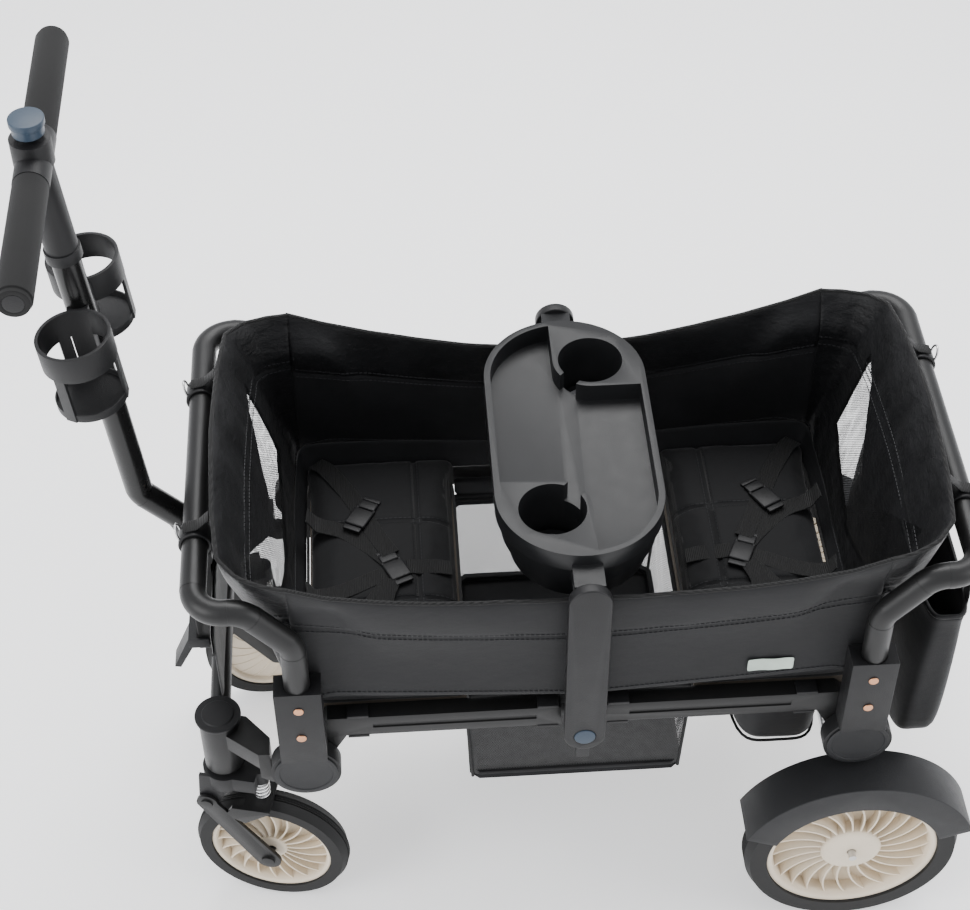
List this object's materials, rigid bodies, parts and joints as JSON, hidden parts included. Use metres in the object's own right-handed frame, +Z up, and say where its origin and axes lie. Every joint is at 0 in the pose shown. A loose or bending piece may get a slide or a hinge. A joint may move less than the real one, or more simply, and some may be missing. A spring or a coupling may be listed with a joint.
{
  "type": "kids pull wagon",
  "caption": "Folding kids pull wagon with a fabric tub, facing seats, foot-well, snack tray, cross-grip handle, sprung swivel front wheels and guarded rear wheels.",
  "frame": {"origin": "the middle of the part's bounding box, on the floor under the wheels", "axes": "+X points to the rear end, away from the handle; +Y to the far side; +Z up"},
  "size_m": [1.1, 0.56, 1.17],
  "materials": {
    "frame_satin": "satin black powder coat",
    "frame_gloss": "gloss black",
    "hub_black": "fine-grained black moulding",
    "trim_grey": "dark grey moulding",
    "tray_black": "satin dark grey moulding",
    "copper": "copper-coloured rivet",
    "blue_grey": "blue-grey moulding",
    "pale_grey": "light grey insert",
    "cream": "cream wheel disc",
    "tyre_grey": "grey-black foam rubber",
    "steel": "plain steel",
    "spring_steel": "bright spring",
    "foam": "foam grip",
    "shell_nylon": "coated black nylon",
    "seat_fabric": "black padded polyester",
    "board": "seat board"
  },
  "bodies": {
    "rear_chassis": {"rear_frame": "frame_satin", "rear_pods": "hub_black", "rear_hub_caps": "trim_grey", "rear_rivets": "copper", "rear_legs": "frame_satin", "rear_axle": "steel", "mudguards": "trim_grey", "tub_rear": "shell_nylon", "storage_basket": "shell_nylon", "rear_rings": "hub_black"},
    "brake_bar": {"brake_pedal": "trim_grey"},
    "brake_pin_near": {"brake_pin_near": "steel"},
    "brake_pin_far": {"brake_pin_far": "steel"},
    "rear_wheel_near": {"rear_tyre_near": "tyre_grey", "rear_disc_near": "cream"},
    "rear_wheel_far": {"rear_tyre_far": "tyre_grey", "rear_disc_far": "cream"},
    "rear_rail_set": {"rear_rails": "frame_satin", "rear_collars": "hub_black", "rear_seat_board": "board", "rear_cushion": "seat_fabric", "seat_box": "shell_nylon"},
    "middle": {"centre_brackets": "hub_black", "foot_well": "shell_nylon"},
    "tray_set": {"tray": "tray_black", "tray_arms": "hub_black", "cup_discs": "pale_grey"},
    "button_near": {"button_near": "blue_grey"},
    "button_far": {"button_far": "blue_grey"},
    "front_rail_set": {"front_rails": "frame_satin", "front_collars": "hub_black", "front_seat_board": "board", "front_cushion": "seat_fabric"},
    "front_chassis": {"front_frame": "frame_satin", "front_pods": "hub_black", "front_hub_caps": "trim_grey", "front_rivets": "copper", "front_cross": "frame_satin", "caster_caps": "hub_black", "tub_front": "shell_nylon", "front_pocket": "shell_nylon", "front_rings": "hub_black"},
    "caster_near": {"yoke_near": "hub_black", "spring_near": "spring_steel"},
    "caster_far": {"yoke_far": "hub_black", "spring_far": "spring_steel"},
    "arm_near": {"link_near": "frame_satin"},
    "arm_far": {"link_far": "frame_satin"},
    "front_wheel_near": {"front_tyre_near": "tyre_grey", "front_disc_near": "cream"},
    "front_wheel_far": {"front_tyre_far": "tyre_grey", "front_disc_far": "cream"},
    "handle": {"handle_tube": "frame_gloss", "cup_holders": "hub_black"},
    "handle_top": {"handle_sleeve": "hub_black", "handle_grips": "foam"},
    "knob": {"handle_knob": "blue_grey"},
    "foot_pedal": {"foot_pedal": "trim_grey"}
  },
  "joints": [
    {"name": "rear_fold", "type": "hinge", "parent": "rear_chassis", "child": "rear_rail_set", "pos_m": [0.38857, 0, 0.348], "axis": [0, 1, 0], "range_deg": [0, 65], "deforming": ["tub_rear", "tub_front", "foot_well", "storage_basket", "front_pocket"]},
    {"name": "centre_fold", "type": "hinge", "parent": "rear_rail_set", "child": "front_rail_set", "pos_m": [0.04657, 0, 0.395], "axis": [0, 1, 0], "range_deg": [-130, 0], "deforming": ["tub_rear", "tub_front", "foot_well", "storage_basket", "front_pocket"]},
    {"name": "front_fold", "type": "hinge", "parent": "front_rail_set", "child": "front_chassis", "pos_m": [-0.29543, 0, 0.348], "axis": [0, 1, 0], "range_deg": [0, 65], "deforming": ["tub_rear", "tub_front", "foot_well", "storage_basket", "front_pocket"]},
    {"name": "middle_level", "type": "hinge", "parent": "rear_rail_set", "child": "middle", "pos_m": [0.04657, 0, 0.395], "axis": [0, 1, 0], "range_deg": [-65, 0], "deforming": ["tub_rear", "tub_front", "foot_well", "storage_basket", "front_pocket"]},
    {"name": "tray_lift", "type": "slide", "parent": "middle", "child": "tray_set", "axis": [0, 0, 1], "range_m": [0, 0.08]},
    {"name": "press_button_near", "type": "slide", "parent": "tray_set", "child": "button_near", "axis": [0, 1, 0], "range_m": [0, 0.002], "stiffness_N_per_m": 400, "springref_m": -0.001},
    {"name": "press_button_far", "type": "slide", "parent": "tray_set", "child": "button_far", "axis": [0, -1, 0], "range_m": [0, 0.002], "stiffness_N_per_m": 400, "springref_m": -0.001},
    {"name": "rear_wheel_near_spin", "type": "hinge", "parent": "rear_chassis", "child": "rear_wheel_near", "pos_m": [0.40157, -0.249, 0.14], "axis": [0, 1, 0], "continuous": true},
    {"name": "rear_wheel_far_spin", "type": "hinge", "parent": "rear_chassis", "child": "rear_wheel_far", "pos_m": [0.40157, 0.249, 0.14], "axis": [0, 1, 0], "continuous": true},
    {"name": "brake_press", "type": "hinge", "parent": "rear_chassis", "child": "brake_bar", "pos_m": [0.43857, 0, 0.15], "axis": [0, 1, 0], "range_deg": [0, 25]},
    {"name": "brake_pin_near_slide", "type": "slide", "parent": "rear_chassis", "child": "brake_pin_near", "axis": [0, -1, 0], "range_m": [0, 0.0085]},
    {"name": "brake_pin_far_slide", "type": "slide", "parent": "rear_chassis", "child": "brake_pin_far", "axis": [0, 1, 0], "range_m": [0, 0.0085]},
    {"name": "caster_near_swivel", "type": "hinge", "parent": "front_chassis", "child": "caster_near", "pos_m": [-0.40443, -0.162, 0.26], "axis": [0, 0, 1], "continuous": true},
    {"name": "suspension_near", "type": "hinge", "parent": "caster_near", "child": "arm_near", "pos_m": [-0.42586, -0.15705, 0.217], "axis": [0.225, 0.9744, 0], "range_deg": [-6, 0], "stiffness_Nm_per_rad": 60, "springref_deg": 11.46, "deforming": ["spring_near"]},
    {"name": "front_wheel_near_spin", "type": "hinge", "parent": "arm_near", "child": "front_wheel_near", "pos_m": [-0.35571, -0.17325, 0.103], "axis": [0.225, 0.9744, 0], "continuous": true},
    {"name": "caster_far_swivel", "type": "hinge", "parent": "front_chassis", "child": "caster_far", "pos_m": [-0.40443, 0.162, 0.26], "axis": [0, 0, 1], "continuous": true},
    {"name": "suspension_far", "type": "hinge", "parent": "caster_far", "child": "arm_far", "pos_m": [-0.42586, 0.15705, 0.217], "axis": [-0.225, 0.9744, 0], "range_deg": [-6, 0], "stiffness_Nm_per_rad": 60, "springref_deg": 11.46, "deforming": ["spring_far"]},
    {"name": "front_wheel_far_spin", "type": "hinge", "parent": "arm_far", "child": "front_wheel_far", "pos_m": [-0.35571, 0.17325, 0.103], "axis": [-0.225, 0.9744, 0], "continuous": true},
    {"name": "handle_pivot", "type": "hinge", "parent": "front_chassis", "child": "handle", "pos_m": [-0.41943, 0, 0.505], "axis": [0, 1, 0], "range_deg": [-60, 0]},
    {"name": "handle_telescope", "type": "slide", "parent": "handle", "child": "handle_top", "axis": [-0.0896, 0, 0.996], "range_m": [-0.048, 0]},
    {"name": "knob_press", "type": "slide", "parent": "handle_top", "child": "knob", "axis": [0, 0, 1], "range_m": [-0.004, 0], "stiffness_N_per_m": 800, "springref_m": 0.002},
    {"name": "foot_pedal_press", "type": "hinge", "parent": "front_chassis", "child": "foot_pedal", "pos_m": [-0.42943, 0, 0.345], "axis": [0, 1, 0], "range_deg": [-12, 0], "stiffness_Nm_per_rad": 0.6, "springref_deg": 17.19}
  ],
  "couplings": [
    {"joint": "centre_fold", "follows": "rear_fold", "ratio": -2},
    {"joint": "front_fold", "follows": "rear_fold", "ratio": 1},
    {"joint": "middle_level", "follows": "rear_fold", "ratio": -1},
    {"joint": "brake_pin_near_slide", "follows": "brake_press", "m_per_rad": 0.018},
    {"joint": "brake_pin_far_slide", "follows": "brake_press", "m_per_rad": 0.018}
  ]
}
